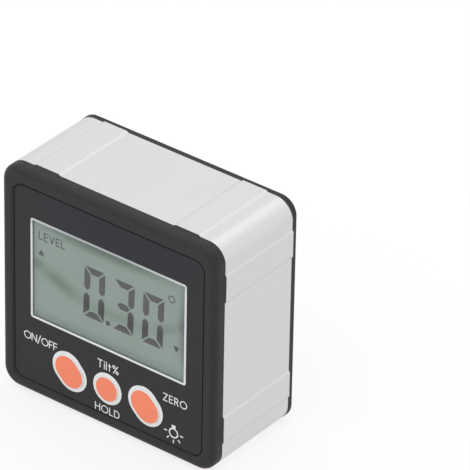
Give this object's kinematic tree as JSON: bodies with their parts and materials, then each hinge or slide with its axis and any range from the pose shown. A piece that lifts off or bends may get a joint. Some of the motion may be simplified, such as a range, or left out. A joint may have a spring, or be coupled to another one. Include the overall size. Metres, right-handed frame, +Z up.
{
  "type": "digital angle gauge",
  "caption": "Pocket digital angle gauge: extruded aluminium frame with raised contact strips and base magnets, black covers, display, orange keys that press and a hinged battery door.",
  "frame": {"origin": "middle of the footprint, on the plane of the two base strips", "axes": "+X to the right across the display, +Y from the display to the back, +Z up from the base"},
  "size_m": [0.0546, 0.0258, 0.0526],
  "materials": {
    "frame_aluminium": "satin anodised extrusion",
    "magnet_nickel": "bright nickel plate",
    "cover_black": "fine moulded texture",
    "panel_black": "smooth printed sheet",
    "lens_clear": "clear acrylic",
    "key_orange": "smooth silicone skin",
    "plunger_brown": "moulded",
    "switch_black": "moulded",
    "display_glass": "reflective display cell",
    "guide_acrylic": "polished",
    "lamp_white": "cast resin",
    "connector_rubber": "soft",
    "board_green": "lacquered laminate",
    "chip_black": "moulded",
    "sensor_grey": "moulded",
    "crystal_can": "drawn can",
    "screw_steel": "zinc plate",
    "cell_sleeve": "plain printed sleeve",
    "contact_steel": "nickel-plated spring steel"
  },
  "bodies": {
    "housing": {"frame": "frame_aluminium", "base_magnets": "magnet_nickel", "front_cover": "cover_black", "rear_cover": "cover_black", "front_panel": "panel_black", "display_lens": "lens_clear", "on_off_switch": "switch_black", "hold_switch": "switch_black", "zero_switch": "switch_black", "lcd_cell": "display_glass", "light_guide": "guide_acrylic", "backlight_lamps": "lamp_white", "elastic_connector": "connector_rubber", "circuit_board": "board_green", "controller_chip": "chip_black", "tilt_sensor": "sensor_grey", "clock_crystal": "crystal_can", "board_screws": "screw_steel", "case_screws": "screw_steel", "upper_cell": "cell_sleeve", "lower_cell": "cell_sleeve", "positive_contact": "contact_steel", "negative_contact": "contact_steel", "bridge_contact": "contact_steel", "contact_springs": "contact_steel"},
    "on_off_key": {"on_off_button": "key_orange", "on_off_plunger": "plunger_brown"},
    "hold_key": {"hold_button": "key_orange", "hold_plunger": "plunger_brown"},
    "zero_key": {"zero_button": "key_orange", "zero_plunger": "plunger_brown"},
    "door": {"battery_door": "cover_black"}
  },
  "joints": [
    {"name": "on_off_press", "type": "slide", "parent": "housing", "child": "on_off_key", "axis": [0, 1, 0], "range_m": [0, 0.00025], "stiffness_N_per_m": 4000, "springref_m": -0.0001},
    {"name": "hold_press", "type": "slide", "parent": "housing", "child": "hold_key", "axis": [0, 1, 0], "range_m": [0, 0.00025], "stiffness_N_per_m": 4000, "springref_m": -0.0001},
    {"name": "zero_press", "type": "slide", "parent": "housing", "child": "zero_key", "axis": [0, 1, 0], "range_m": [0, 0.00025], "stiffness_N_per_m": 4000, "springref_m": -0.0001},
    {"name": "door_swing", "type": "hinge", "parent": "housing", "child": "door", "pos_m": [0, 0.012, 0.01645], "axis": [-1, 0, 0], "range_deg": [0, 95]}
  ]
}
